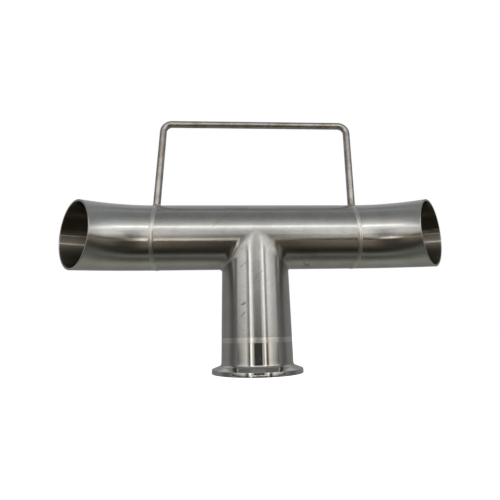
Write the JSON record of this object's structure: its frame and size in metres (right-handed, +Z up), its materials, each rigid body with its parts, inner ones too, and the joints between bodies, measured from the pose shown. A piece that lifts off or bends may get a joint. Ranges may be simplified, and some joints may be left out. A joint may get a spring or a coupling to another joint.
{
  "type": "draw-off nozzle",
  "caption": "Welded stainless tee on a clamp ferrule, with an open 45 degree elbow on each end of the run and a bent bar handle on top.",
  "frame": {"origin": "centre of the clamp ferrule's sealing face", "axes": "+Z up the outlet to the tee, +X along the run to the right elbow, and the elbows turn towards -Y"},
  "size_m": [0.2994, 0.0722, 0.2041],
  "materials": {
    "tube": "satin stainless tube",
    "ferrule": "turned and polished stainless",
    "bar": "drawn stainless bar",
    "weld": "brushed weld bead"
  },
  "bodies": {
    "root": {"tee_body": "tube", "left_elbow": "tube", "right_elbow": "tube", "clamp_ferrule": "ferrule", "handle": "bar", "left_girth_weld": "weld", "right_girth_weld": "weld", "ferrule_weld": "weld", "left_handle_weld": "weld", "right_handle_weld": "weld"}
  },
  "joints": []
}
